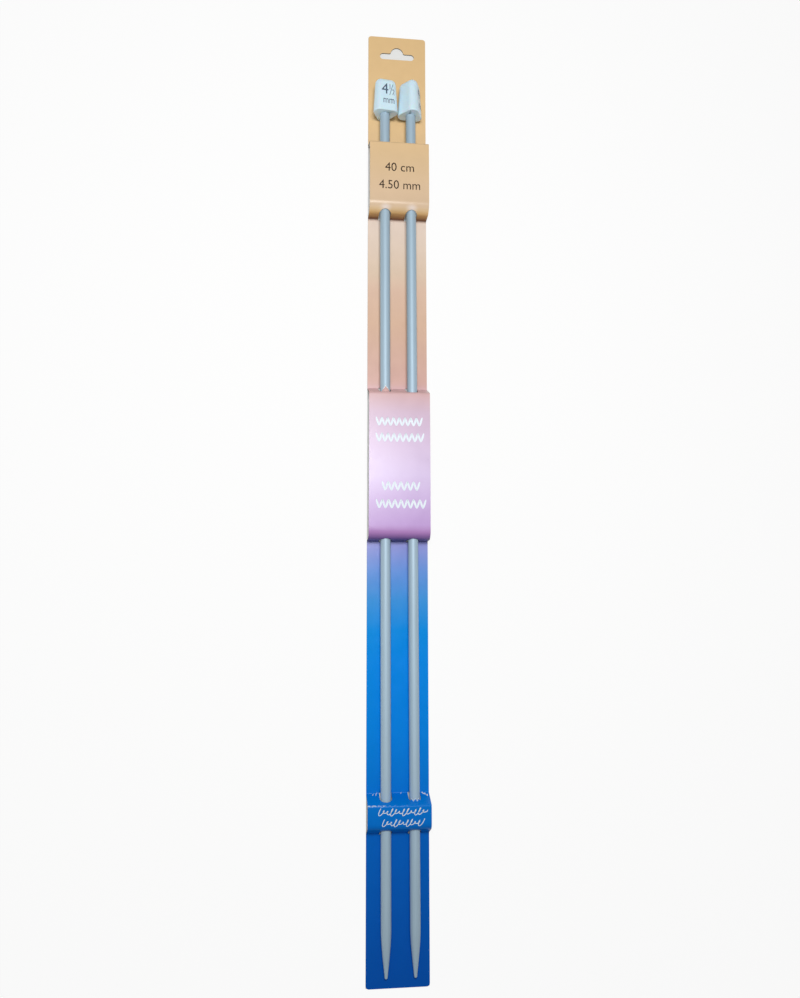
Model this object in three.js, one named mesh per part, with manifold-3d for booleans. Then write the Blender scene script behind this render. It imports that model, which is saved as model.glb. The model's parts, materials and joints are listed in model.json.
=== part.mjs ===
// A pair of single-pointed knitting needles, held in the raised bands of a folded hang card.
// The card lies on its back. +Y runs to its hang slot and +Z out of its printed face.
// Lengths are in millimetres.
import * as THREE from 'three';
import { mergeVertices } from 'three/addons/utils/BufferGeometryUtils.js';
import Module from 'manifold-3d';

const wasm = await Module();
wasm.setup();

// Needles
const needleLength = 400; // over the head, as the card's size line says
const shaftDiameter = 4.5;
const taperLength = 21;
const tipRadius = 0.8;
const tipSlope = 5; // degrees, where the round tip meets the taper
const taperFullness = 0.35; // how far along the taper its curve holds each end's direction
const shaftEndChamfer = 0.4;
const pitchAtHeads = 12.1; // from axis to axis, at the bases of the heads
const pitchAtTapers = 12.5; // and where the tapers start
const driftAtHeads = -0.4; // how far right of the card's middle the pair lies at the heads
const driftAtTapers = 0.95; // and at the tapers
const shaftSteps = 48;
const arcSteps = 12; // along each round stretch of a cut outline

// Heads
const headLength = 16.2;
const headWidth = 11.5; // across a flat side at the base
const headTopWidth = 9.4;
const headCornerRadius = 3.1;
const headBaseFillet = 0.5;
const headTopFillet = 2.2;
const headTurns = { left: 8, right: -50 }; // degrees about the needle's axis
const socketDepth = 12;
const socketClearance = 0.15;

// Card
const cardLength = 432;
const cardWidth = 27.4;
const cardThickness = 0.5;
const cardCornerRadius = 1.4;
const restGap = 0.3; // air between pieces that rest on each other
const headInset = 27.3; // from the card's upper edge to the tops of the heads
const scoredFoldRadius = 0.9; // to the middle of the sheet, as every fold radius
const footFoldRadius = 0.7;
const foldSteps = 9;

// Raised bands, from the hang end down. Each starts at its scored fold, measured from the card's
// upper edge, and ends at a softer fold. A run is how far a shoulder reaches along the card as it
// comes down, and the headroom is the air above the needles at the scored fold.
const upperBandStart = 58.9;
const upperBandLength = 32.6;
const upperBandStartRun = 3;
const upperBandEndRun = 0.3;
const upperBandEndRadius = 5;
const upperBandHeadroom = 1.2;
const middleBandStart = 176.8;
const middleBandLength = 65.2;
const middleBandStartRun = 3.7;
const middleBandEndRun = 0.5;
const middleBandEndRadius = 4;
const middleBandHeadroom = 1.4;
const lowerBandStart = 355.8;
const lowerBandLength = 9.3;
const lowerBandStartRun = 3.6;
const lowerBandEndRun = 3.6;
const lowerBandEndRadius = 3;
const lowerBandHeadroom = 2.1;

// Cut-outs
const slotClearance = 0.45; // air round a needle in its slot
const hangSlotWidth = 16.3;
const hangSlotHeight = 3;
const hangDomeRadius = 3;
const hangDomeFillet = 0.8;
const hangDomeInset = 5.3; // from the card's upper edge to the dome's top

const shaftRadius = shaftDiameter / 2;
const upperEdge = cardLength / 2;
const bands = [
  {
    upper: upperEdge - upperBandStart,
    lower: upperEdge - upperBandStart - upperBandLength,
    startRun: upperBandStartRun,
    endRun: upperBandEndRun,
    endRadius: upperBandEndRadius,
    headroom: upperBandHeadroom,
  },
  {
    upper: upperEdge - middleBandStart,
    lower: upperEdge - middleBandStart - middleBandLength,
    startRun: middleBandStartRun,
    endRun: middleBandEndRun,
    endRadius: middleBandEndRadius,
    headroom: middleBandHeadroom,
  },
  {
    upper: upperEdge - lowerBandStart,
    lower: upperEdge - lowerBandStart - lowerBandLength,
    startRun: lowerBandStartRun,
    endRun: lowerBandEndRun,
    endRadius: lowerBandEndRadius,
    headroom: lowerBandHeadroom,
  },
];
const X = new THREE.Vector3(1, 0, 0);
const Y = new THREE.Vector3(0, 1, 0);
const Z = new THREE.Vector3(0, 0, 1);

// Turns a closed three.js geometry into a solid that can be cut.
function toSolid(geometry) {
  const plain = geometry.clone();
  plain.deleteAttribute('normal');
  plain.deleteAttribute('uv');
  const merged = mergeVertices(plain, 1e-5);
  const vertProperties = new Float32Array(merged.attributes.position.array);
  const triVerts = new Uint32Array(merged.index.array);
  return new wasm.Manifold(new wasm.Mesh({ numProp: 3, vertProperties, triVerts }));
}

function toGeometry(solid) {
  const { vertProperties, triVerts } = solid.getMesh();
  const geometry = new THREE.BufferGeometry();
  geometry.setAttribute('position', new THREE.BufferAttribute(vertProperties, 3));
  geometry.setIndex(new THREE.BufferAttribute(triVerts, 1));
  geometry.computeVertexNormals();
  return geometry;
}

// Extrudes a flat shape from origin, with the shape's own axes along across and up.
function prism(shape, depth, across, up, origin) {
  const settings = { depth, bevelEnabled: false, curveSegments: arcSteps };
  const geometry = new THREE.ExtrudeGeometry(shape, settings);
  const along = new THREE.Vector3().crossVectors(across, up);
  geometry.applyMatrix4(new THREE.Matrix4().makeBasis(across, up, along).setPosition(origin));
  return geometry;
}

// Head section: a triangle with rounded corners, one flat side up.
const cornerCount = 3;
const cornerReach = (headWidth / 2 - headCornerRadius) / Math.cos(Math.PI / 6);
const headReach = cornerReach + headCornerRadius;

// How the needles lie: the heads lift the blunt ends, and the rods come down where they taper.
// Each line runs from the taper's start to the head's base. The left needle has side -1.
const shaftSpan = needleLength - taperLength - headLength;
const headTopY = upperEdge - headInset;

function needleLine(side) {
  const x = driftAtTapers + (side * pitchAtTapers) / 2;
  const z = cardThickness + restGap + shaftRadius;
  const shift = driftAtHeads + (side * pitchAtHeads) / 2 - x;
  const lift = cardThickness + restGap + headReach - z;
  const advance = Math.sqrt(shaftSpan ** 2 - shift ** 2 - lift ** 2);
  const direction = new THREE.Vector3(shift, advance, lift).divideScalar(shaftSpan);
  const y = headTopY - (shaftSpan + headLength) * direction.y;
  return { start: new THREE.Vector3(x, y, z), direction };
}

function axisAt({ start, direction }, y) {
  return start.clone().addScaledVector(direction, (y - start.y) / direction.y);
}

const needleLines = { left: needleLine(-1), right: needleLine(1) };

// Card: the folds of one sheet, seen from its side as points of y and z in the sheet's middle.
const flat = cardThickness / 2;

function bandFolds({ upper, lower, startRun, endRun, endRadius, headroom }) {
  const raised = axisAt(needleLines.left, upper).z + shaftRadius + headroom + flat;
  return [
    { y: lower - endRun, z: flat, radius: footFoldRadius },
    { y: lower, z: raised, radius: endRadius },
    { y: upper, z: raised, radius: scoredFoldRadius },
    { y: upper + startRun, z: flat, radius: footFoldRadius },
  ];
}

// The round of one fold, offset to one face of the sheet.
function foldArc(before, fold, after, offset) {
  const into = new THREE.Vector2(fold.y - before.y, fold.z - before.z).normalize();
  const out = new THREE.Vector2(after.y - fold.y, after.z - fold.z).normalize();
  const turn = Math.atan2(into.cross(out), into.dot(out));
  const side = Math.sign(turn);
  const setback = fold.radius * Math.tan(Math.abs(turn) / 2);
  const centre = new THREE.Vector2(
    fold.y - into.x * setback - into.y * side * fold.radius,
    fold.z - into.y * setback + into.x * side * fold.radius,
  );
  const radius = fold.radius - side * offset;
  const startAngle = Math.atan2(into.y, into.x) - (side * Math.PI) / 2;
  return Array.from({ length: foldSteps + 1 }, (_, step) => {
    const angle = startAngle + (turn * step) / foldSteps;
    return new THREE.Vector2(centre.x + radius * Math.cos(angle), centre.y + radius * Math.sin(angle));
  });
}

function sheetFace(folds, offset) {
  const face = [new THREE.Vector2(folds[0].y, folds[0].z + offset)];
  for (let i = 1; i < folds.length - 1; i += 1) {
    face.push(...foldArc(folds[i - 1], folds[i], folds[i + 1], offset));
  }
  const last = folds[folds.length - 1];
  face.push(new THREE.Vector2(last.y, last.z + offset));
  return face;
}

function foldedSheet() {
  const folds = [
    { y: -upperEdge, z: flat },
    ...[...bands].reverse().flatMap(bandFolds),
    { y: upperEdge, z: flat },
  ];
  const back = sheetFace(folds, -flat);
  const front = sheetFace(folds, flat);
  const profile = new THREE.Shape([...back, ...front.reverse()]);
  return toSolid(prism(profile, cardWidth, Y, Z, new THREE.Vector3(-cardWidth / 2, 0, 0)));
}

// The sheet's cut outline, with its four rounded corners, as a block through every band.
function outlineBlock() {
  const halfWidth = cardWidth / 2;
  const inner = halfWidth - cardCornerRadius;
  const end = upperEdge - cardCornerRadius;
  const outline = new THREE.Shape();
  outline.absarc(inner, end, cardCornerRadius, 0, Math.PI / 2);
  outline.absarc(-inner, end, cardCornerRadius, Math.PI / 2, Math.PI);
  outline.absarc(-inner, -end, cardCornerRadius, Math.PI, Math.PI * 1.5);
  outline.absarc(inner, -end, cardCornerRadius, Math.PI * 1.5, Math.PI * 2);
  const height = axisAt(needleLines.left, headTopY).z + headReach * 2; // over every band
  return toSolid(prism(outline, height, X, Y, new THREE.Vector3(0, 0, -cardThickness)));
}

// The hang slot: a long slot with round ends and a dome in the middle, blended by small fillets.
function hangSlotCutter() {
  const half = hangSlotHeight / 2;
  const wing = hangSlotWidth / 2 - half;
  const blend = Math.asin(hangDomeFillet / (hangDomeRadius + hangDomeFillet));
  const blendX = (hangDomeRadius + hangDomeFillet) * Math.cos(blend);
  const blendY = half + hangDomeFillet;
  const slot = new THREE.Shape();
  slot.absarc(wing, 0, half, -Math.PI / 2, Math.PI / 2);
  slot.absarc(blendX, blendY, hangDomeFillet, -Math.PI / 2, -Math.PI + blend, true);
  slot.absarc(0, half, hangDomeRadius, blend, Math.PI - blend);
  slot.absarc(-blendX, blendY, hangDomeFillet, -blend, -Math.PI / 2, true);
  slot.absarc(-wing, 0, half, Math.PI / 2, Math.PI * 1.5);
  const middle = upperEdge - hangDomeInset - hangDomeRadius - half;
  const depth = cardThickness * 3; // out of both faces
  return toSolid(prism(slot, depth, X, Y, new THREE.Vector3(0, middle, -cardThickness)));
}

// An arched slot through one shoulder of a band, from outside its foot to under the raised part.
function needleSlotCutter(line, footY, foldY, foldRadius) {
  const radius = shaftRadius + slotClearance;
  const axis = axisAt(line, (footY + foldY) / 2);
  const arch = new THREE.Shape();
  arch.moveTo(-radius, -cardThickness);
  arch.lineTo(radius, -cardThickness);
  arch.absarc(0, axis.z, radius, 0, Math.PI);
  const inward = Math.sign(foldY - footY);
  const outerEnd = footY - inward * cardThickness;
  const innerEnd = foldY + inward * foldRadius;
  const origin = new THREE.Vector3(axis.x, Math.max(outerEnd, innerEnd), 0);
  return toSolid(prism(arch, Math.abs(innerEnd - outerEnd), X, Z, origin));
}

function displayCard() {
  let card = foldedSheet().intersect(outlineBlock()).subtract(hangSlotCutter());
  for (const { upper, lower, startRun, endRun, endRadius } of bands) {
    for (const line of Object.values(needleLines)) {
      card = card.subtract(needleSlotCutter(line, upper + startRun, upper, scoredFoldRadius));
      card = card.subtract(needleSlotCutter(line, lower - endRun, lower, endRadius));
    }
  }
  return toGeometry(card);
}

// Needles: in their own frame the axis is Y, with the taper's start at the origin.
const headBaseY = shaftSpan;

// A rod whose taper swells slightly, down to a round blunt tip.
function needleShaft() {
  const taperSteps = 8;
  const tipSteps = 6;
  const tipAngle = THREE.MathUtils.degToRad(tipSlope);
  const handle = taperLength * taperFullness;
  const profile = [new THREE.Vector2(0, -taperLength)];
  for (let step = 1; step <= tipSteps; step += 1) {
    const angle = ((Math.PI / 2 - tipAngle) * step) / tipSteps;
    const y = -taperLength + tipRadius * (1 - Math.cos(angle));
    profile.push(new THREE.Vector2(tipRadius * Math.sin(angle), y));
  }
  const tipEdge = profile[tipSteps];
  const taper = new THREE.CubicBezierCurve(
    tipEdge,
    new THREE.Vector2(tipEdge.x + Math.tan(tipAngle) * handle, tipEdge.y + handle),
    new THREE.Vector2(shaftRadius, -handle),
    new THREE.Vector2(shaftRadius, 0),
  );
  profile.push(...taper.getPoints(taperSteps).slice(1));
  const seatedEnd = headBaseY + socketDepth - restGap;
  profile.push(new THREE.Vector2(shaftRadius, seatedEnd - shaftEndChamfer));
  profile.push(new THREE.Vector2(shaftRadius - shaftEndChamfer, seatedEnd));
  profile.push(new THREE.Vector2(0, seatedEnd));
  return toGeometry(toSolid(new THREE.LatheGeometry(profile, shaftSteps)));
}

// One ring of the head: the rounded triangle at a share of its base size, drawn in by an inset.
function headRing(y, share, inset) {
  const cornerSteps = 10;
  const ring = [];
  for (let corner = 0; corner < cornerCount; corner += 1) {
    const middle = -Math.PI / 2 + (corner * Math.PI * 2) / cornerCount;
    for (let step = 0; step <= cornerSteps; step += 1) {
      const angle = middle + (Math.PI / cornerCount) * ((2 * step) / cornerSteps - 1);
      const radius = headCornerRadius * share - inset;
      ring.push(new THREE.Vector3(
        cornerReach * share * Math.cos(middle) + radius * Math.cos(angle),
        y,
        cornerReach * share * Math.sin(middle) + radius * Math.sin(angle),
      ));
    }
  }
  return ring;
}

// A closed skin over rings of equal count, with flat ends.
function loft(rings) {
  const count = rings[0].length;
  const points = rings.flat();
  const index = [];
  for (let level = 0; level < rings.length - 1; level += 1) {
    for (let i = 0; i < count; i += 1) {
      const a = level * count + i;
      const b = level * count + ((i + 1) % count);
      index.push(a, a + count, b, b, a + count, b + count);
    }
  }
  const topStart = (rings.length - 1) * count;
  for (let i = 1; i < count - 1; i += 1) {
    index.push(0, i, i + 1);
    index.push(topStart, topStart + i + 1, topStart + i);
  }
  const geometry = new THREE.BufferGeometry().setFromPoints(points);
  geometry.setIndex(index);
  return geometry;
}

function needleHead() {
  const filletSteps = 5;
  const topShare = headTopWidth / headWidth;
  const shareAt = (y) => 1 + (topShare - 1) * (y / headLength);
  const quarterSteps = Array.from({ length: filletSteps + 1 }, (_, step) => step / filletSteps);
  const quarter = quarterSteps.map((share) => (share * Math.PI) / 2);
  const rings = [
    ...quarter.map((angle) => ({
      y: headBaseFillet * (1 - Math.cos(angle)),
      inset: headBaseFillet * (1 - Math.sin(angle)),
    })),
    ...quarter.map((angle) => ({
      y: headLength - headTopFillet * (1 - Math.sin(angle)),
      inset: headTopFillet * (1 - Math.cos(angle)),
    })),
  ];
  const skin = loft(rings.map(({ y, inset }) => headRing(headBaseY + y, shareAt(y), inset)));
  const socketRadius = shaftRadius + socketClearance;
  const socket = new THREE.LatheGeometry([
    new THREE.Vector2(0, headBaseY - headBaseFillet),
    new THREE.Vector2(socketRadius, headBaseY - headBaseFillet),
    new THREE.Vector2(socketRadius, headBaseY + socketDepth),
    new THREE.Vector2(0, headBaseY + socketDepth),
  ], shaftSteps);
  return toGeometry(toSolid(skin).subtract(toSolid(socket)));
}

const materials = {
  card: new THREE.MeshStandardMaterial({ color: 0x2f7fce, roughness: 0.55, metalness: 0 }),
  shaft: new THREE.MeshStandardMaterial({ color: 0xa9bfce, roughness: 0.4, metalness: 0.35 }),
  head: new THREE.MeshStandardMaterial({ color: 0xd9eefa, roughness: 0.35, metalness: 0 }),
};

function named(name, geometry, material) {
  const mesh = new THREE.Mesh(geometry, material);
  mesh.name = name;
  return mesh;
}

function needle(name) {
  const { start, direction } = needleLines[name];
  const group = new THREE.Group();
  const head = named(`${name}_needle_head`, needleHead(), materials.head);
  head.rotation.y = THREE.MathUtils.degToRad(headTurns[name]);
  group.add(named(`${name}_needle_shaft`, needleShaft(), materials.shaft), head);
  group.position.copy(start);
  group.quaternion.setFromUnitVectors(Y, direction);
  return group;
}

const knittingNeedles = new THREE.Group();
knittingNeedles.add(named('display_card', displayCard(), materials.card));
knittingNeedles.add(needle('left'));
knittingNeedles.add(needle('right'));

export default knittingNeedles;
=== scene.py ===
import json
import math
import random

import bmesh
import bpy
from mathutils import Matrix, Vector
from mathutils.bvhtree import BVHTree


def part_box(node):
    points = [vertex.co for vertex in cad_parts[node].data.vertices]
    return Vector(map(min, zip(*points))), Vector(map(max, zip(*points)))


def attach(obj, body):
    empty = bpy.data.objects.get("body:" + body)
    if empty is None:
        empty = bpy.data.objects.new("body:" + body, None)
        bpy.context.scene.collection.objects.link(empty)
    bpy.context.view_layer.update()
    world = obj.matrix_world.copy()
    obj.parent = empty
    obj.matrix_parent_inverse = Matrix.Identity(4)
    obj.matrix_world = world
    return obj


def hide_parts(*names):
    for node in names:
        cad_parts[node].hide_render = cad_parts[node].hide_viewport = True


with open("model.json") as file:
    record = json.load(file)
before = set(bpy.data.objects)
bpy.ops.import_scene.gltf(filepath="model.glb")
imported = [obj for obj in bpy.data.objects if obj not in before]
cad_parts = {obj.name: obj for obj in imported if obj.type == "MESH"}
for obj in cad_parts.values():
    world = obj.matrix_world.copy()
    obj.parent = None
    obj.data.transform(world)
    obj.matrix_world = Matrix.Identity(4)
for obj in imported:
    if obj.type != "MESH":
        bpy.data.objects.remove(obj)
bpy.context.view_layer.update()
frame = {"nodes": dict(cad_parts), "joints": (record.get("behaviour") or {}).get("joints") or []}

# A pair of knitting needles on their folded hang card. Sizes below are in millimetres.
mm = 0.001
pointGap = 0.0001  # points nearer to each other than this are one
across = Vector((1, 0, 0))
along = Vector((0, 1, 0))
upwards = Vector((0, 0, 1))
needleSides = ("left", "right")
cardLow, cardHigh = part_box("display_card")
cardWidth = (cardHigh.x - cardLow.x) / mm
cardLength = (cardHigh.y - cardLow.y) / mm

print("camera")
cameraSetup = {
    "place": (-44.4, -53.2, 385.5),
    "target": (1.25, -7.5, 0),  # where the middle of the picture meets the card's back
    "roll": -0.08,  # degrees
    "lens": 31.18,
    "clipStart": 10,
}


def makeCamera(setup):
    data = bpy.data.cameras.new("camera")
    data.lens = setup["lens"]
    data.clip_start = setup["clipStart"] * mm
    camera = bpy.data.objects.new("camera", data)
    place = Vector(setup["place"]) * mm
    back = (place - Vector(setup["target"]) * mm).normalized()
    right = along.cross(back).normalized()
    turned = Matrix((right, back.cross(right), back)).transposed().to_4x4()
    roll = Matrix.Rotation(math.radians(setup["roll"]), 4, "Z")
    camera.matrix_world = Matrix.Translation(place) @ turned @ roll
    bpy.context.scene.collection.objects.link(camera)
    bpy.context.scene.camera = camera


makeCamera(cameraSetup)

print("helpers")
white = (1, 1, 1, 1)
blendShare, blendFirst, blendSecond = 0, 6, 7  # sockets of a Mix node set to colours
blended = 2  # its output


def toLinear(hexColour):  # an sRGB hex colour as the shader wants it
    parts = [int(hexColour[i:i + 2], 16) / 255 for i in (1, 3, 5)]
    linear = [p / 12.92 if p <= 0.04045 else ((p + 0.055) / 1.055) ** 2.4 for p in parts]
    return (*linear, 1)


def addNode(tree, kind, inputs=None, **settings):  # inputs holds plain values and sockets to link
    node = tree.nodes.new("ShaderNode" + kind)
    for name, value in settings.items():
        setattr(node, name, value)
    for name, value in (inputs or {}).items():
        if isinstance(value, bpy.types.NodeSocket):
            tree.links.new(value, node.inputs[name])
        else:
            node.inputs[name].default_value = value
    return node


def newMaterial(name, **sockets):  # socket names without their spaces, such as SubsurfaceWeight
    material = bpy.data.materials.new(name)
    material.use_nodes = True
    tree = material.node_tree
    shader = tree.nodes["Principled BSDF"]
    known = {socket.name.replace(" ", ""): socket for socket in shader.inputs}
    for socket, value in sockets.items():
        known[socket].default_value = value
    place = addNode(tree, "TexCoord").outputs["Object"]
    return material, tree, shader, place


def addRelief(tree, shader, height, depth, strength=1.0):  # depth in millimetres
    bump = addNode(tree, "Bump", {"Height": height, "Distance": depth * mm, "Strength": strength})
    tree.links.new(bump.outputs["Normal"], shader.inputs["Normal"])


def newPiece(name, bm, materials, body, smoothBelow=30):
    mesh = bpy.data.meshes.new(name)
    bm.to_mesh(mesh)
    bm.free()
    for material in materials:
        mesh.materials.append(material)
    mesh.shade_smooth()
    mesh.set_sharp_from_angle(angle=math.radians(smoothBelow))
    piece = bpy.data.objects.new(name, mesh)
    bpy.context.scene.collection.objects.link(piece)
    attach(piece, body)
    return piece


def evenShading(piece):
    weighted = piece.modifiers.new("even shading", "WEIGHTED_NORMAL")
    weighted.keep_sharp = True


def needleFrame(side):  # the needle's own frame: origin at its point, Y towards its head
    joint = next(j for j in frame["joints"] if j["child"] == side + "_needle")
    axis = Vector(joint["axis"]).normalized()
    vertices = frame["nodes"][side + "_needle_shaft"].data.vertices
    tip = min((v.co for v in vertices), key=lambda co: co.dot(axis))
    return Matrix.Translation(tip) @ along.rotation_difference(axis).to_matrix().to_4x4()


def runTo(needle, y):  # how far along a needle from its point it crosses this line on the card
    direction = needle.to_3x3() @ along
    return (y * mm - needle.translation.y) / direction.y


print("paperboard")
creaseWear = {  # the scored fold of the lowest band, whose ink has cracked
    "place": -139.6,  # along the card
    "width": 0.55,
    "crackLength": 1.1,
    "crackRoughness": 0.7,
    "amount": 0.5,
    "left": 0.1,  # added at the card's left edge, where there are more cracks than at the right
    "right": -0.3,
    "span": (0.94, 1.02),  # from whole ink to bare board
    "colour": "#DDEBF7",
}


def crackedShare(tree, place, wear):  # 1 where the ink has come off the fold
    split = addNode(tree, "SeparateXYZ", {"Vector": place})
    cracks = addNode(tree, "TexNoise", {
        "Vector": place, "Scale": 1 / (wear["crackLength"] * mm), "Detail": 4,
        "Roughness": wear["crackRoughness"]})
    offset = addNode(tree, "Math", {0: split.outputs["Y"], 1: wear["place"] * mm}, operation="SUBTRACT")
    distance = addNode(tree, "Math", {0: offset.outputs[0]}, operation="ABSOLUTE")
    near = addNode(tree, "MapRange", {
        "Value": distance.outputs[0], "From Min": 0, "From Max": wear["width"] * mm,
        "To Min": wear["amount"], "To Max": 0})
    fade = addNode(tree, "MapRange", {
        "Value": split.outputs["X"], "From Min": -cardWidth / 2 * mm, "From Max": cardWidth / 2 * mm,
        "To Min": wear["left"], "To Max": wear["right"]})
    gate = addNode(tree, "Math", {0: near.outputs[0], 1: cracks.outputs[0]}, operation="ADD")
    gate = addNode(tree, "Math", {0: gate.outputs[0], 1: fade.outputs[0]}, operation="ADD")
    whole, bare = wear["span"]
    share = addNode(tree, "MapRange", {"Value": gate.outputs[0], "From Min": whole, "From Max": bare})
    return share.outputs[0]


paintedSheenSpots = {  # painted highlight: the print is made pale where each needle bulges the tan band's lower fold from behind, in place of the sheen there
    "place": 126.2,  # along the card
    "height": 9.0,  # over the table
    "reach": (3.6, 2.4, 4.0),  # across, along and up, to where the spot has faded out
    "amount": 0.7,
    "colour": "#F3E8E6",
}


def paintedSheenShare(tree, place, side, paintedSheen):  # most in the middle of a needle's spot
    needle = needleFrame(side)
    centre = needle @ (along * runTo(needle, paintedSheen["place"]))
    centre.z = paintedSheen["height"] * mm
    scale = Vector([1 / (reach * mm) for reach in paintedSheen["reach"]])
    nearby = addNode(tree, "Mapping", {"Vector": place, "Location": -centre * scale, "Scale": scale})
    distance = addNode(tree, "VectorMath", {0: nearby.outputs[0]}, operation="LENGTH")
    share = addNode(tree, "MapRange", {
        "Value": distance.outputs["Value"], "From Min": 0, "From Max": 1,
        "To Min": paintedSheen["amount"], "To Max": 0}, interpolation_type="SMOOTHSTEP")
    return share.outputs[0]


# Coated folding boxboard, offset printed in one blend: a satin face that shines where it bends. The blend
# also holds painted highlight and painted shade on the lower folds of the tan and the middle band.
# It is printed flat: the place on it runs on over the folds, so the height counts with the length.
heightShare = 0.5  # of a height over the table that is added to the place along the card
printAndPaintedShadeStops = (  # place along the card from its middle, height over the table, the colour there: print, with painted highlight and painted shade on the bands' lower folds
    (216, 0.5, "#EDC993"),
    (170, 0.5, "#E8C594"),
    (150, 10.7, "#DFC096"),
    (133, 10.7, "#DDC09F"),
    (129, 10.6, "#D8BC9C"),
    # painted highlight on the roll of the tan band's lower fold, then painted shade down its wall to the
    # foot
    (127, 9.6, "#DCC1A3"),
    (125.3, 8.0, "#EBC896"),
    (124.5, 5.5, "#E0AA60"),
    (124.3, 2.5, "#884A12"),
    (124, 0.6, "#5A300C"),
    (123.6, 0.5, "#E8D6C8"),
    (98, 0.5, "#DFC7B0"),
    (90, 0.5, "#DEBEA8"),
    (74, 0.5, "#DAB79E"),
    (46, 0.5, "#D4ABA0"),
    (39, 9.7, "#D6B0B0"),
    (30, 9.7, "#D7BDD2"),
    (2, 9.7, "#DECAEE"),
    (-20, 9.7, "#C8A5DE"),
    # painted shade down the middle band's lower fold to its foot
    (-23.5, 9.6, "#B585C2"),
    (-25.8, 8.0, "#8A66A8"),
    (-26.2, 5.0, "#5C4A8C"),
    (-26.5, 1.0, "#43387A"),
    (-27.2, 0.5, "#9A9BDC"),
    (-40, 0.5, "#6C9BE3"),
    (-53, 0.5, "#3F9CE5"),
    (-66, 0.5, "#0096EC"),
    (-80, 0.5, "#0093F2"),
    (-110, 0.5, "#008DEF"),
    (-134.8, 0.5, "#0080E2"),
    (-153.5, 0.5, "#006CD0"),
    (-216, 0.5, "#005AC0"),
)
boardSetup = {
    "mottle": 6,  # size of the faint clouds in the ink
    "mottleSpan": (0.3, 0.7),  # part of the noise's range that counts
    "mottleShades": (0.98, 1.01),
    "roughness": (0.18, 0.25),
    "grain": 0.4,  # size of the relief in the coating
    "grainDepth": 0.012,
    "grainStrength": 0.5,
}


def makePrintedBoardWithPaintedShade(setup, stops, wear, paintedSheen):  # the blend of inks with its painted highlight and shade, then cracks and painted highlight spots
    material, tree, shader, place = newMaterial("offset_printed_board_with_painted_shade", SpecularIORLevel=0.2)
    split = addNode(tree, "SeparateXYZ", {"Vector": place})
    raised = addNode(tree, "Math", {0: split.outputs["Z"], 1: heightShare}, operation="MULTIPLY")
    printed = addNode(tree, "Math", {0: split.outputs["Y"], 1: raised.outputs[0]}, operation="ADD")
    share = addNode(tree, "MapRange", {
        "Value": printed.outputs[0], "From Min": -cardLength / 2 * mm, "From Max": cardLength / 2 * mm})
    ramp = addNode(tree, "ValToRGB", {"Fac": share.outputs[0]})
    elements = ramp.color_ramp.elements
    for stop in stops[len(elements):]:
        elements.new(0.5)
    for element, (y, height, colour) in zip(elements, reversed(stops)):
        element.position = min(1, (y + heightShare * height) / cardLength + 0.5)
        element.color = toLinear(colour)
    mottle = addNode(tree, "TexNoise", {
        "Vector": place, "Scale": 1 / (setup["mottle"] * mm), "Detail": 3})
    weak, strong = setup["mottleSpan"]
    dark, light = setup["mottleShades"]
    shade = addNode(tree, "MapRange", {
        "Value": mottle.outputs[0], "From Min": weak, "From Max": strong,
        "To Min": dark, "To Max": light})
    colour = addNode(tree, "Mix", {
        blendShare: 1, blendFirst: ramp.outputs[0], blendSecond: shade.outputs[0]},
        data_type="RGBA", blend_type="MULTIPLY").outputs[blended]
    colour = addNode(tree, "Mix", {
        blendShare: crackedShare(tree, place, wear), blendFirst: colour,
        blendSecond: toLinear(wear["colour"])}, data_type="RGBA").outputs[blended]
    # painted highlight spots where the needles bulge the fold
    for side in needleSides:
        colour = addNode(tree, "Mix", {
            blendShare: paintedSheenShare(tree, place, side, paintedSheen), blendFirst: colour,
            blendSecond: toLinear(paintedSheen["colour"])}, data_type="RGBA").outputs[blended]
    tree.links.new(colour, shader.inputs["Base Color"])
    smooth, rough = setup["roughness"]
    sheen = addNode(tree, "MapRange", {
        "Value": mottle.outputs[0], "From Min": weak, "From Max": strong,
        "To Min": smooth, "To Max": rough})
    tree.links.new(sheen.outputs[0], shader.inputs["Roughness"])
    grain = addNode(tree, "TexNoise", {"Vector": place, "Scale": 1 / (setup["grain"] * mm), "Detail": 2})
    addRelief(tree, shader, grain.outputs[0], setup["grainDepth"], setup["grainStrength"])
    return material


def makeFibre(name, shades, fibreSize, depth, **sockets):  # bare board: matt fibre in two shades
    material, tree, shader, place = newMaterial(name, **sockets)
    fibre = addNode(tree, "TexNoise", {"Vector": place, "Scale": 1 / (fibreSize * mm), "Detail": 5})
    dark, light = [toLinear(shade) for shade in shades]
    colour = addNode(tree, "Mix", {
        blendShare: fibre.outputs[0], blendFirst: dark, blendSecond: light}, data_type="RGBA")
    tree.links.new(colour.outputs[blended], shader.inputs["Base Color"])
    addRelief(tree, shader, fibre.outputs[0], depth)
    return material


inkSetup = {
    "cover": 0.5,  # size of the patches where the ink lies thicker
    "coverSpan": (0.35, 0.6),
    "depth": 0.01,
    "strength": 0.4,
}


def makeInk(name, thin, full, setup=inkSetup):  # printing ink, laid a little unevenly
    material, tree, shader, place = newMaterial(name, Roughness=0.5, SpecularIORLevel=0.25)
    cover = addNode(tree, "TexNoise", {"Vector": place, "Scale": 1 / (setup["cover"] * mm), "Detail": 4})
    weak, strong = setup["coverSpan"]
    share = addNode(tree, "MapRange", {"Value": cover.outputs[0], "From Min": weak, "From Max": strong})
    colour = addNode(tree, "Mix", {
        blendShare: share.outputs[0], blendFirst: toLinear(thin), blendSecond: toLinear(full)},
        data_type="RGBA")
    tree.links.new(colour.outputs[blended], shader.inputs["Base Color"])
    addRelief(tree, shader, cover.outputs[0], setup["depth"], setup["strength"])
    return material


backSetup = {
    "cloud": 9,  # size of the paler clouds
    "shades": ("#D6D2CA", "#E4E1DA"),
    "fleck": 0.7,  # across a fibre, which runs along the card
    "fleckStretch": (1, 0.35, 1),
    "fleckSpan": (0.60, 0.72),
    "fleckColour": "#A39C90",
    "depth": 0.03,
    "strength": 0.6,
}


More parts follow.
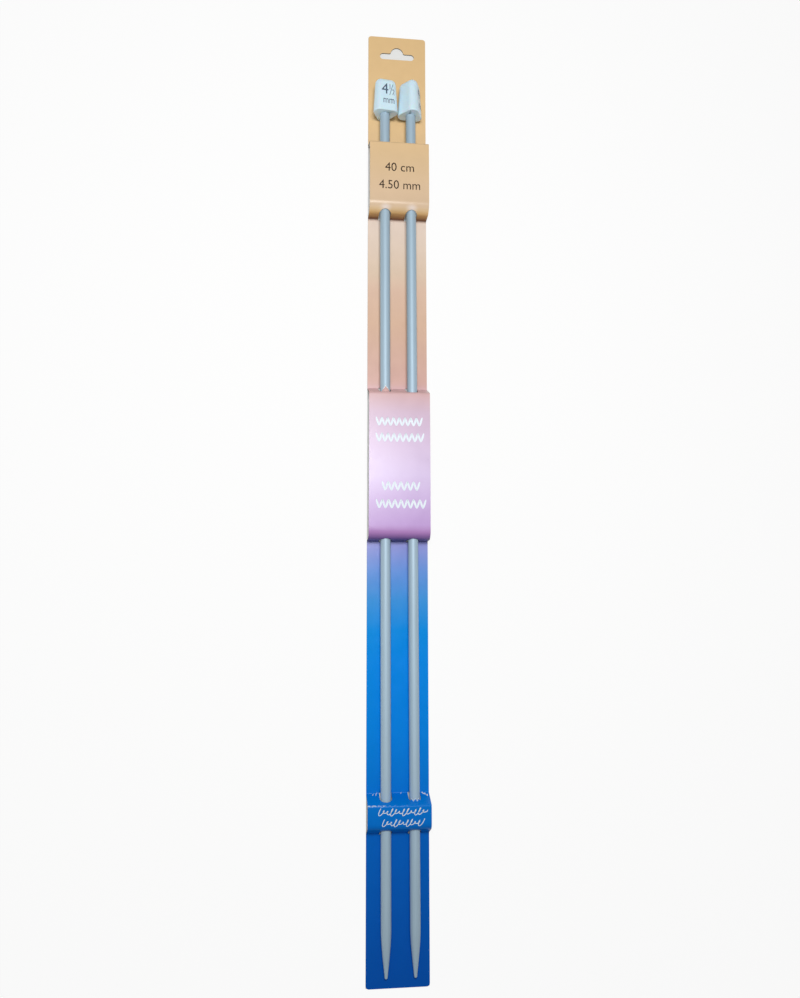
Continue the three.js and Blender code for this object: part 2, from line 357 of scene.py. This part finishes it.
def makeBoardBack(setup):  # uncoated recycled board: matt, pale warm grey, with short darker fibres
    material, tree, shader, place = newMaterial(
        "uncoated_board_back", Roughness=0.85, SpecularIORLevel=0.25)
    cloud = addNode(tree, "TexNoise", {"Vector": place, "Scale": 1 / (setup["cloud"] * mm), "Detail": 4})
    dark, light = [toLinear(shade) for shade in setup["shades"]]
    base = addNode(tree, "Mix", {
        blendShare: cloud.outputs[0], blendFirst: dark, blendSecond: light}, data_type="RGBA")
    stretched = addNode(tree, "Mapping", {"Vector": place, "Scale": setup["fleckStretch"]})
    fleck = addNode(tree, "TexNoise", {
        "Vector": stretched.outputs[0], "Scale": 1 / (setup["fleck"] * mm), "Detail": 6})
    weak, strong = setup["fleckSpan"]
    speckle = addNode(tree, "MapRange", {"Value": fleck.outputs[0], "From Min": weak, "From Max": strong})
    colour = addNode(tree, "Mix", {
        blendShare: speckle.outputs[0], blendFirst: base.outputs[blended],
        blendSecond: toLinear(setup["fleckColour"])}, data_type="RGBA")
    tree.links.new(colour.outputs[blended], shader.inputs["Base Color"])
    addRelief(tree, shader, fleck.outputs[0], setup["depth"], setup["strength"])
    return material


printedBoardWithShade = makePrintedBoardWithPaintedShade(boardSetup, printAndPaintedShadeStops, creaseWear, paintedSheenSpots)
boardBack = makeBoardBack(backSetup)
rawEdgeAndShade = makeFibre(  # cut board: grey recycled fibre, painted darker still as painted shade in the slots and along the cut edges
    "cut_board_edge_painted_shade", ("#5C5A59", "#8C8986"), fibreSize=0.25, depth=0.05,
    Roughness=0.9, SpecularIORLevel=0.2)
tornFibre = makeFibre(  # the white middle of the board where it has torn: fluffy
    "torn_board_fibre", ("#D9E2E8", "#FBFCFD"), fibreSize=0.3, depth=0.06,
    Roughness=0.95, SpecularIORLevel=0.15)
brownInk = makeInk("brown_figure_ink", "#3E2C20", "#281A10")
whiteInk = makeInk("opaque_white_ink", "#E2F0FC", "#F2FAFF")
greyInk = makeInk("grey_pad_print_ink", "#66788C", "#42546A")

cardSetup = {
    "cell": 3.0,  # the sheet is cut into squares of this size, so that it can bow
    "weld": 0.002,
    "flatWithin": 0.2,  # degrees; the CAD's triangles in one plane are joined
    "seamAngle": 14,  # degrees; the folds turn less from facet to facet, the cut edges more
    "bows": (  # upper and lower fold of each band, and how far its middle bows out
        (157.1, 124.5, 0.15),
        (39.2, -26.0, 0.45),
        (-139.8, -149.1, 0.05),
    ),
}


def spreadFrom(start, limit):  # every face reached without crossing a sharp edge
    found = {start}
    queue = [start]
    while queue:
        for edge in queue.pop().edges:
            if len(edge.link_faces) == 2 and edge.calc_face_angle(math.pi) < limit:
                for face in edge.link_faces:
                    if face not in found:
                        found.add(face)
                        queue.append(face)
    return found


def cutIntoCells(bm, low, high, cell):
    for normal in (across, along):
        start = low.dot(normal)
        span = high.dot(normal) - start
        count = max(1, round(span / (cell * mm)))
        for step in range(1, count):
            bmesh.ops.bisect_plane(
                bm, geom=bm.verts[:] + bm.edges[:] + bm.faces[:], dist=pointGap * mm,
                plane_co=normal * (start + span * step / count), plane_no=normal)


def bowOut(y, bows):
    for upper, lower, amount in bows:
        if lower * mm < y < upper * mm:
            share = (y / mm - lower) / (upper - lower)
            return amount * mm * math.sin(math.pi * share) ** 2
    return 0.0


def makeCard(setup):
    bm = bmesh.new()
    bm.from_mesh(frame["nodes"]["display_card"].data)
    bmesh.ops.remove_doubles(bm, verts=bm.verts, dist=setup["weld"] * mm)
    bmesh.ops.dissolve_limit(
        bm, angle_limit=math.radians(setup["flatWithin"]), verts=bm.verts, edges=bm.edges)
    cutIntoCells(bm, cardLow, cardHigh, setup["cell"])
    bm.normal_update()
    limit = math.radians(setup["seamAngle"])
    top = max(bm.faces, key=lambda f: (round(f.normal.z, 3), f.calc_center_median().z))
    bottom = min(bm.faces, key=lambda f: (round(f.normal.z, 3), f.calc_center_median().z))
    front = spreadFrom(top, limit)
    back = spreadFrom(bottom, limit)
    for face in bm.faces:
        face.material_index = 0 if face in front else 1 if face in back else 2
    print("card faces", len(front), len(back), len(bm.faces))
    for vertex in bm.verts:
        vertex.co.z += bowOut(vertex.co.y, setup["bows"])
    card = newPiece("folded_hang_card", bm, (printedBoardWithShade, boardBack, rawEdgeAndShade), "card")
    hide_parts("display_card")
    evenShading(card)
    return card


card = makeCard(cardSetup)

print("needles")
coatSetup = {
    "streak": 0.5,  # width
    "streakStretch": (1, 0.02, 1),  # the drawn rod's streaks run along it
    "tints": ("#A9C2D2", "#B8D0E0"),
    "speck": 0.35,  # size of the coat's darker specks
    "speckSpan": (0.62, 0.75),
    "speckShade": 0.9,
    "ends": (-100, 100),  # along the card
    "endShades": (1.12, 0.9),  # painted light: the coat is made darker towards the head and paler towards the points, for how the light falls along the rods
    "roughnessSpan": (0.3, 0.7),
    "roughness": (0.46, 0.56),
    "depth": 0.01,
    "strength": 0.4,
}


def makeCoatedAluminium(setup):  # drawn aluminium rod under a grey satin coat: soft, long highlights, and painted light along its length
    material, tree, shader, place = newMaterial(
        "satin_coated_aluminium", Metallic=0.15, SpecularIORLevel=0.4)
    drawn = addNode(tree, "Mapping", {"Vector": place, "Scale": setup["streakStretch"]})
    streaks = addNode(tree, "TexNoise", {
        "Vector": drawn.outputs[0], "Scale": 1 / (setup["streak"] * mm), "Detail": 3})
    speck = addNode(tree, "TexNoise", {"Vector": place, "Scale": 1 / (setup["speck"] * mm), "Detail": 2})
    dark, light = [toLinear(tint) for tint in setup["tints"]]
    tint = addNode(tree, "Mix", {
        blendShare: streaks.outputs[0], blendFirst: dark, blendSecond: light}, data_type="RGBA")
    split = addNode(tree, "SeparateXYZ", {"Vector": place})
    lower, upper = setup["ends"]
    pale, deep = setup["endShades"]
    weak, strong = setup["speckSpan"]
    # painted light: the coat's colour is darker towards the head
    paintedLightFade = addNode(tree, "MapRange", {
        "Value": split.outputs["Y"], "From Min": lower * mm, "From Max": upper * mm,
        "To Min": pale, "To Max": deep})
    darker = addNode(tree, "MapRange", {
        "Value": speck.outputs[0], "From Min": weak, "From Max": strong,
        "To Min": 1, "To Max": setup["speckShade"]})
    colour = tint.outputs[blended]
    for shade in (paintedLightFade, darker):
        colour = addNode(tree, "Mix", {
            blendShare: 1, blendFirst: colour, blendSecond: shade.outputs[0]},
            data_type="RGBA", blend_type="MULTIPLY").outputs[blended]
    tree.links.new(colour, shader.inputs["Base Color"])
    weak, strong = setup["roughnessSpan"]
    smooth, rough = setup["roughness"]
    sheen = addNode(tree, "MapRange", {
        "Value": streaks.outputs[0], "From Min": weak, "From Max": strong,
        "To Min": smooth, "To Max": rough})
    tree.links.new(sheen.outputs[0], shader.inputs["Roughness"])
    addRelief(tree, shader, speck.outputs[0], setup["depth"], setup["strength"])
    return material


plasticSetup = {
    "flow": 5,  # size of the faint clouds in the plastic
    "tints": ("#D4EFFE", "#DEF5FF"),
    "scatter": 0.6,  # how deep light goes in
    "skin": 0.6,  # size of the relief on the mould's satin surface
    "skinSpan": (0.3, 0.7),
    "roughness": (0.27, 0.36),
    "depth": 0.01,
    "strength": 0.35,
}


def makeMouldedPlastic(setup):  # injection-moulded polystyrene: cool white, soft gloss, slightly deep
    material, tree, shader, place = newMaterial(
        "moulded_white_polystyrene", IOR=1.59, SubsurfaceWeight=0.12,
        SubsurfaceScale=setup["scatter"] * mm)
    flow = addNode(tree, "TexNoise", {"Vector": place, "Scale": 1 / (setup["flow"] * mm), "Detail": 3})
    dark, light = [toLinear(tint) for tint in setup["tints"]]
    colour = addNode(tree, "Mix", {
        blendShare: flow.outputs[0], blendFirst: dark, blendSecond: light}, data_type="RGBA")
    tree.links.new(colour.outputs[blended], shader.inputs["Base Color"])
    skin = addNode(tree, "TexNoise", {"Vector": place, "Scale": 1 / (setup["skin"] * mm), "Detail": 2})
    weak, strong = setup["skinSpan"]
    smooth, rough = setup["roughness"]
    sheen = addNode(tree, "MapRange", {
        "Value": skin.outputs[0], "From Min": weak, "From Max": strong,
        "To Min": smooth, "To Max": rough})
    tree.links.new(sheen.outputs[0], shader.inputs["Roughness"])
    addRelief(tree, shader, skin.outputs[0], setup["depth"], setup["strength"])
    return material


coatedAluminium = makeCoatedAluminium(coatSetup)
mouldedPlastic = makeMouldedPlastic(plasticSetup)

needleSetup = {
    "length": 400,
    "diameter": 4.5,
    "taper": 21,
    "tipRadius": 0.65,
    "tipSlope": 6,  # degrees
    "taperFullness": 0.35,
    "seat": 11.7,  # how far the rod reaches into the head
    "endChamfer": 0.4,
    "sides": 96,
    "tipSteps": 8,
    "taperSteps": 16,
    "straightSteps": 24,
}
headSetup = {
    "length": 16.2,
    "baseWidth": 11.5,
    "topWidth": 9.4,
    "corners": 3,
    "cornerRadius": 3.1,
    "cornerSteps": 12,
    "baseFillet": 0.5,
    "topFillet": 2.2,
    "filletSteps": 6,
    "flatWithin": 1,  # degrees; facets of the hull in one plane are joined
    "endFacing": 0.99,  # an end face points along the needle at least this much
    "socketClearance": 0.15,
    "socketSpare": 0.3,  # the socket is this much deeper than the rod reaches
    "turns": {"left": 8, "right": -50},  # degrees about the needle
}


def rodProfile(setup):  # from the round tip, up the swelling taper, to the chamfered blunt end
    radius = setup["diameter"] / 2
    taper = setup["taper"]
    tipRadius = setup["tipRadius"]
    slope = math.radians(setup["tipSlope"])
    points = []
    for step in range(setup["tipSteps"] + 1):
        angle = (math.pi / 2 - slope) * step / setup["tipSteps"]
        points.append((tipRadius * math.sin(angle), tipRadius * (1 - math.cos(angle))))
    handle = taper * setup["taperFullness"]
    edgeX, edgeY = points[-1]
    pulls = (
        (edgeX, edgeY),
        (edgeX + math.tan(slope) * handle, edgeY + handle),
        (radius, taper - handle),
        (radius, taper),
    )
    for step in range(1, setup["taperSteps"] + 1):
        t = step / setup["taperSteps"]
        weights = ((1 - t) ** 3, 3 * t * (1 - t) ** 2, 3 * t * t * (1 - t), t ** 3)
        points.append(tuple(sum(w * pull[i] for w, pull in zip(weights, pulls)) for i in (0, 1)))
    end = setup["length"] - headSetup["length"] + setup["seat"]
    for step in range(1, setup["straightSteps"] + 1):
        y = taper + (end - setup["endChamfer"] - taper) * step / setup["straightSteps"]
        points.append((radius, y))
    points.append((radius - setup["endChamfer"], end))
    points.append((0, end))
    return points


def makeRod(side, setup):
    bm = bmesh.new()
    outline = [bm.verts.new((x * mm, y * mm, 0)) for x, y in rodProfile(setup)]
    edges = [bm.edges.new(pair) for pair in zip(outline, outline[1:])]
    bmesh.ops.spin(
        bm, geom=outline + edges, cent=(0, 0, 0), axis=along, angle=2 * math.pi,
        steps=setup["sides"], use_merge=True)
    bmesh.ops.remove_doubles(bm, verts=bm.verts, dist=pointGap * mm)
    bmesh.ops.recalc_face_normals(bm, faces=bm.faces)
    bmesh.ops.transform(bm, matrix=needleFrame(side), verts=bm.verts)
    rod = newPiece(side + "_needle_rod", bm, (coatedAluminium,), side + "_needle")
    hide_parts(side + "_needle_shaft")


def headFrame(side):  # origin at the middle of the head's base
    base = Matrix.Translation((0, (needleSetup["length"] - headSetup["length"]) * mm, 0))
    turn = Matrix.Rotation(math.radians(headSetup["turns"][side]), 4, "Y")
    return needleFrame(side) @ base @ turn


def openSocket(bm, setup):  # swaps the base's flat face for a ring and a blind socket
    radius = needleSetup["diameter"] / 2 + setup["socketClearance"]
    depth = needleSetup["seat"] + setup["socketSpare"]
    ends = [f for f in bm.faces if f.normal.y < -setup["endFacing"]]
    base = max(ends, key=lambda f: f.calc_area())
    rim = list(base.edges)
    bmesh.ops.delete(bm, geom=[base], context="FACES_ONLY")
    flat = Matrix.Rotation(math.pi / 2, 4, "X")
    mouth = bmesh.ops.create_circle(bm, segments=len(rim), radius=radius * mm, matrix=flat)["verts"]
    mouthEdges = list({edge for vertex in mouth for edge in vertex.link_edges})
    bmesh.ops.bridge_loops(bm, edges=rim + mouthEdges)
    wall = bmesh.ops.extrude_edge_only(bm, edges=mouthEdges)["geom"]
    floor = [item for item in wall if isinstance(item, bmesh.types.BMVert)]
    bmesh.ops.translate(bm, verts=floor, vec=along * depth * mm)
    bmesh.ops.contextual_create(bm, geom=floor)


def makeHead(side, setup):
    corners = setup["corners"]
    bm = bmesh.new()
    reach = (setup["baseWidth"] / 2 - setup["cornerRadius"]) / math.cos(math.pi / 2 / corners)
    for y, share in ((0, 1), (setup["length"], setup["topWidth"] / setup["baseWidth"])):
        for corner in range(corners):
            angle = -math.pi / 2 + corner * math.pi * 2 / corners
            centre = Vector((math.cos(angle), 0, math.sin(angle))) * reach * share + along * y
            place = Matrix.Translation(centre * mm) @ Matrix.Rotation(math.pi / 2, 4, "X")
            bmesh.ops.create_circle(
                bm, segments=setup["cornerSteps"] * corners,
                radius=setup["cornerRadius"] * share * mm, matrix=place)
    bmesh.ops.convex_hull(bm, input=bm.verts[:])
    bmesh.ops.delete(bm, geom=[e for e in bm.edges if not e.link_faces], context="EDGES")
    bmesh.ops.delete(bm, geom=[v for v in bm.verts if not v.link_faces], context="VERTS")
    bmesh.ops.dissolve_limit(
        bm, angle_limit=math.radians(setup["flatWithin"]), verts=bm.verts, edges=bm.edges)
    bm.normal_update()
    for facing, fillet in ((-1, setup["baseFillet"]), (1, setup["topFillet"])):
        rim = [e for e in bm.edges if max(f.normal.y * facing for f in e.link_faces) > setup["endFacing"]]
        bmesh.ops.bevel(
            bm, geom=rim, affect="EDGES", offset=fillet * mm, segments=setup["filletSteps"],
            profile=0.5, material=-1)
        bm.normal_update()
    openSocket(bm, setup)
    bmesh.ops.recalc_face_normals(bm, faces=bm.faces)
    bmesh.ops.transform(bm, matrix=headFrame(side), verts=bm.verts)
    head = newPiece(side + "_needle_cap", bm, (mouldedPlastic,), side + "_needle")
    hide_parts(side + "_needle_head")
    evenShading(head)
    return head


caps = {}
for side in needleSides:
    makeRod(side, needleSetup)
    caps[side] = makeHead(side, headSetup)

print("printed details")
printSetup = {
    "lift": 0.03,  # of the ink's mesh over the face that it lies on
    "drop": 30,  # height from which the print is laid on
    "cell": 1.2,
    "figures": (  # words, middle of the line, its width and height
        ("40 cm", (0.0, 145.0), (13.4, 4.1)),
        ("4.50 mm", (0.0, 136.5), (19.0, 4.1)),
    ),
    "curveSteps": 4,
    "boldness": 0.0006,  # in letter heights
}


def surfaceOf(piece):
    mesh = piece.data
    return BVHTree.FromPolygons([v.co for v in mesh.vertices], [p.vertices for p in mesh.polygons])


def layOn(bm, surface, place):  # drops a flat mesh onto a surface along the place's own Z
    down = -(place.to_3x3() @ upwards)
    for vertex in bm.verts:
        start = place @ Vector((vertex.co.x, vertex.co.y, printSetup["drop"] * mm))
        hit, normal = surface.ray_cast(start, down)[:2]
        vertex.co = hit + normal * printSetup["lift"] * mm


def cutAndLay(bm, surface, place):
    spans = [[v.co[i] for v in bm.verts] for i in (0, 1)]
    low = Vector((min(spans[0]), min(spans[1]), 0))
    high = Vector((max(spans[0]), max(spans[1]), 0))
    cutIntoCells(bm, low, high, printSetup["cell"])
    layOn(bm, surface, place)


def curveMesh(data):
    holder = bpy.data.objects.new("holder", data)
    bpy.context.scene.collection.objects.link(holder)
    shown = holder.evaluated_get(bpy.context.evaluated_depsgraph_get())
    bm = bmesh.new()
    bm.from_mesh(bpy.data.meshes.new_from_object(shown))
    bpy.data.objects.remove(holder)
    return bm


def addMesh(bm, extra):  # adds one bmesh to another and frees it
    mesh = bpy.data.meshes.new("extra")
    extra.to_mesh(mesh)
    extra.free()
    bm.from_mesh(mesh)


def addWords(bm, words, middle, size):  # a plain built-in face, stretched to the size asked for
    data = bpy.data.curves.new("words", "FONT")
    data.body = words
    data.resolution_u = printSetup["curveSteps"]
    data.offset = printSetup["boldness"]
    line = curveMesh(data)
    low = Vector([min(v.co[i] for v in line.verts) for i in range(3)])
    high = Vector([max(v.co[i] for v in line.verts) for i in range(3)])
    stretch = (size[0] * mm / (high.x - low.x), size[1] * mm / (high.y - low.y), 1)
    bmesh.ops.translate(line, verts=line.verts, vec=-(low + high) / 2)
    bmesh.ops.scale(line, verts=line.verts, vec=stretch)
    bmesh.ops.translate(line, verts=line.verts, vec=(middle[0] * mm, middle[1] * mm, 0))
    addMesh(bm, line)


def makeFigures(surface, setup):
    bm = bmesh.new()
    for words, middle, size in setup["figures"]:
        addWords(bm, words, middle, size)
    cutAndLay(bm, surface, Matrix())
    newPiece("size_figures", bm, (brownInk,), "card")


stitchSetup = {
    "rows": (  # middle of each row and its width
        (-0.2, 26.1, 20.6),
        (0.1, 18.9, 21.4),
        (0.5, -2.9, 16.9),
        (0.6, -10.8, 22.2),
    ),
    "width": 2.7,
    "leafShift": 0.27,  # from the stitch's middle to a leaf's, as a share of the stitch's width
    "leafWidth": 0.95,
    "leafLength": 4.3,
    "leafSides": 20,
    "lean": 17,  # degrees
}


def makeStitchRows(surface, setup):  # knit stitches, each a V of two leaves
    bm = bmesh.new()
    for x, y, width in setup["rows"]:
        count = round(width / setup["width"])
        for step in range(count):
            middle = x + width * ((step + 0.5) / count - 0.5)
            for side in (-1, 1):
                spot = Vector((middle + side * setup["width"] * setup["leafShift"], y, 0))
                leaf = Matrix.Translation(spot * mm)
                leaf = leaf @ Matrix.Rotation(math.radians(-setup["lean"] * side), 4, "Z")
                leaf = leaf @ Matrix.Diagonal((setup["leafWidth"] / 2, setup["leafLength"] / 2, 1, 1))
                bmesh.ops.create_circle(
                    bm, cap_ends=True, segments=setup["leafSides"], radius=mm, matrix=leaf)
    cutAndLay(bm, surface, Matrix())
    newPiece("stitch_rows", bm, (whiteInk,), "card")


threadSetup = {
    "rows": (  # middle of each row, its width and height
        (1.4, -142.2, 20.4, 3.2),
        (1.3, -146.7, 17.0, 3.2),
    ),
    "thickness": 0.32,
    "loopWidth": 1.7,
    "loopSteps": 16,
    "loopHeights": (0.6, 0.4),  # middle height of a loop and how far it varies, as shares of the row's
    "loopPattern": 3.3,  # loops from one high loop to the next
    "backstep": 0.5,  # how far a loop swings to and fro
    "slant": 0.5,
    "rimTilt": 0.1,  # faces of the thread that point up less than this are left off
}


def makeThreadRows(surface, setup):  # one looping thread in each row
    bm = bmesh.new()
    middleHeight, change = setup["loopHeights"]
    for x, y, width, height in setup["rows"]:
        data = bpy.data.curves.new("thread", "CURVE")
        data.dimensions = "3D"
        data.bevel_depth = setup["thickness"] / 2 * mm
        data.bevel_resolution = 1
        spline = data.splines.new("POLY")
        steps = round(width / setup["loopWidth"]) * setup["loopSteps"]
        spline.points.add(steps)
        for step, point in enumerate(spline.points):
            turn = 2 * math.pi * step / setup["loopSteps"]
            reach = height / 2 * (middleHeight + change * math.cos(turn / setup["loopPattern"]))
            rise = reach * math.cos(turn)
            run = width * (step / steps - 0.5) - setup["backstep"] * math.sin(turn)
            point.co = ((x + run + setup["slant"] * rise) * mm, (y + rise) * mm, 0, 1)
        tube = curveMesh(data)
        under = [face for face in tube.faces if face.normal.z < setup["rimTilt"]]
        bmesh.ops.delete(tube, geom=under, context="FACES")
        addMesh(bm, tube)
    layOn(bm, surface, Matrix())
    newPiece("thread_rows", bm, (whiteInk,), "card")


capPrintSetup = {
    "figures": (
        ("4", (-0.9, 10.6), (3.1, 5.2)),
        ("\u00bd", (2.4, 10.4), (2.4, 5.6)),
        ("mm", (0.9, 4.5), (5.2, 2.3)),
    ),
    "faces": {"left": 0, "right": 120},  # degrees from the upper face to the printed one
}


def makeCapPrint(side, surface, setup):
    bm = bmesh.new()
    for words, middle, size in setup["figures"]:
        addWords(bm, words, middle, size)
    turn = Matrix.Rotation(math.radians(setup["faces"][side]), 4, "Y")
    cutAndLay(bm, surface, headFrame(side) @ turn)
    newPiece(side + "_cap_figures", bm, (greyInk,), side + "_needle")


cardSurface = surfaceOf(card)
makeFigures(cardSurface, printSetup)
makeStitchRows(cardSurface, stitchSetup)
makeThreadRows(cardSurface, threadSetup)
for side, cap in caps.items():
    makeCapPrint(side, surfaceOf(cap), capPrintSetup)

print("wear")
flapSetup = {
    "seed": 11,
    "flaps": (  # needle, place of the root along the card, width, length, count of teeth
        ("left", 39.9, 3.4, 3.4, 1),
        ("right", -138.9, 4.2, 1.9, 3),
    ),
    "air": (0.5, 0.18),  # between a flap and the needle, at its root and its tip
    "thickness": 0.12,
    "columns": 18,
    "rows": 5,
    "notch": 0.25,  # reach between two teeth, as a share of a tooth's
    "ragged": (0.8, 1.05),
}


def makeFlaps(setup):  # slot edges torn by the needles: ragged tongues that lie over them
    shift = random.Random(setup["seed"])
    radius = needleSetup["diameter"] / 2
    columns, rows = setup["columns"], setup["rows"]
    rootAir, tipAir = setup["air"]
    bm = bmesh.new()
    for side, root, width, length, teeth in setup["flaps"]:
        place = needleFrame(side)
        start = runTo(place, root)
        reaches = []
        for column in range(columns + 1):
            tooth = 1 - abs((column / columns * teeth) % 1 * 2 - 1)
            fullness = setup["notch"] + (1 - setup["notch"]) * tooth
            reaches.append(length * fullness * shift.uniform(*setup["ragged"]) * mm)
        sheet = bmesh.ops.create_grid(bm, x_segments=columns, y_segments=rows, size=0.5)["verts"]
        for face in {face for vertex in sheet for face in vertex.link_faces}:
            face.material_index = 1 if face.calc_center_median().y > 0.5 - 1 / rows else 0
        for vertex in sheet:
            share = vertex.co.x + 0.5
            part = vertex.co.y + 0.5
            angle = width * (share - 0.5) / radius
            out = (radius + rootAir + (tipAir - rootAir) * part) * mm
            y = start + reaches[round(share * columns)] * part
            vertex.co = place @ Vector((out * math.sin(angle), y, out * math.cos(angle)))
    bmesh.ops.recalc_face_normals(bm, faces=bm.faces)
    flaps = newPiece("torn_flaps", bm, (printedBoardWithShade, tornFibre), "card")
    thick = flaps.modifiers.new("thickness", "SOLIDIFY")
    thick.thickness = setup["thickness"] * mm


scuffSetup = {
    "seed": 11,
    "scuffs": (  # middle, length, width, turn in degrees
        (-9.4, -136.2, 1.5, 0.35, 60),
        (-10.9, -136.4, 0.9, 0.30, 30),
        (1.4, -136.0, 0.9, 0.22, 60),
        (11.4, -136.4, 2.2, 0.55, -12),
        (12.7, -136.9, 0.9, 0.5, 40),
        (10.7, -136.0, 0.8, 0.35, 15),
    ),
    "sides": 22,
    "ragged": (0.45, 1.2),
}


def makeScuffs(surface, setup):
    shift = random.Random(setup["seed"])
    bm = bmesh.new()
    for x, y, length, width, turn in setup["scuffs"]:
        middle = Vector((x, y, 0)) * mm
        place = Matrix.Translation(middle) @ Matrix.Rotation(math.radians(turn), 4, "Z")
        place = place @ Matrix.Diagonal((length / 2, width / 2, 1, 1))
        ring = bmesh.ops.create_circle(
            bm, cap_ends=True, segments=setup["sides"], radius=mm, matrix=place)["verts"]
        for vertex in ring:
            vertex.co = middle + (vertex.co - middle) * shift.uniform(*setup["ragged"])
    layOn(bm, surface, Matrix())
    newPiece("scuffed_spots", bm, (tornFibre,), "card")


makeFlaps(flapSetup)
makeScuffs(cardSurface, scuffSetup)

print("stage")
stageSetup = {
    "floorDrop": 0.3,  # below the card's back
    "floorSize": 4000,
    "floorColour": "#F2F2F0",
    "glow": 0.9,  # how far the camera sees the floor round the object as plain white
    "lampPlace": (-32, 85, 480),
    "lampSize": 170,
    "lampPower": 1.1,  # watts
    "lampSpread": 140,  # degrees, with a honeycomb grid over the softbox
    "skyLevel": 0.2,
    "mirrorLevel": 0.15,  # what shiny surfaces see of the dark room round the softbox
    "seenLevel": 1,  # what the camera sees past the floor
}


def outsideCard(tree):  # 1 on the floor round the card, 0 under it
    place = addNode(tree, "TexCoord").outputs["Object"]
    split = addNode(tree, "SeparateXYZ", {"Vector": place})
    outside = 0
    for axis, size in (("X", cardWidth), ("Y", cardLength)):
        reach = addNode(tree, "Math", {0: split.outputs[axis]}, operation="ABSOLUTE")
        past = addNode(tree, "Math", {0: reach.outputs[0], 1: size / 2 * mm}, operation="GREATER_THAN")
        outside = addNode(tree, "Math", {0: past.outputs[0], 1: outside}, operation="MAXIMUM").outputs[0]
    return outside


def makeFloorPaint(setup):
    material = bpy.data.materials.new("pale_floor")
    material.use_nodes = True
    tree = material.node_tree
    tree.nodes.remove(tree.nodes["Principled BSDF"])
    matt = addNode(tree, "BsdfDiffuse", {"Color": toLinear(setup["floorColour"])})
    glow = addNode(tree, "Emission", {"Color": white, "Strength": 1})
    seen = addNode(tree, "LightPath").outputs["Is Camera Ray"]
    share = addNode(tree, "Math", {0: seen, 1: outsideCard(tree)}, operation="MULTIPLY")
    share = addNode(tree, "Math", {0: share.outputs[0], 1: setup["glow"]}, operation="MULTIPLY")
    mixed = addNode(tree, "MixShader", {0: share.outputs[0], 1: matt.outputs[0], 2: glow.outputs[0]})
    tree.links.new(mixed.outputs[0], tree.nodes["Material Output"].inputs["Surface"])
    return material


def makeFloor(setup):
    bm = bmesh.new()
    drop = Matrix.Translation((0, 0, -setup["floorDrop"] * mm))
    bmesh.ops.create_grid(bm, x_segments=1, y_segments=1, size=setup["floorSize"] / 2 * mm, matrix=drop)
    mesh = bpy.data.meshes.new("floor")
    bm.to_mesh(mesh)
    bm.free()
    mesh.materials.append(makeFloorPaint(setup))
    floor = bpy.data.objects.new("floor", mesh)
    bpy.context.scene.collection.objects.link(floor)


def makeLight(setup):
    data = bpy.data.lights.new("softbox", "AREA")
    data.shape = "DISK"
    data.size = setup["lampSize"] * mm
    data.energy = setup["lampPower"]
    data.spread = math.radians(setup["lampSpread"])
    lamp = bpy.data.objects.new("softbox", data)
    lamp.matrix_world = Matrix.Translation(Vector(setup["lampPlace"]) * mm)
    lamp.visible_camera = False
    bpy.context.scene.collection.objects.link(lamp)
    world = bpy.data.worlds.new("studio")
    world.use_nodes = True
    tree = world.node_tree
    sky = tree.nodes["Background"]
    sky.inputs["Color"].default_value = white
    rays = addNode(tree, "LightPath").outputs
    level = addNode(tree, "Mix", {
        "Factor": rays["Is Glossy Ray"], "A": setup["skyLevel"], "B": setup["mirrorLevel"]})
    level = addNode(tree, "Mix", {
        "Factor": rays["Is Camera Ray"], "A": level.outputs[0], "B": setup["seenLevel"]})
    tree.links.new(level.outputs[0], sky.inputs["Strength"])
    bpy.context.scene.world = world


makeFloor(stageSetup)
makeLight(stageSetup)
bpy.context.scene.view_settings.view_transform = "Standard"

print("scene built")
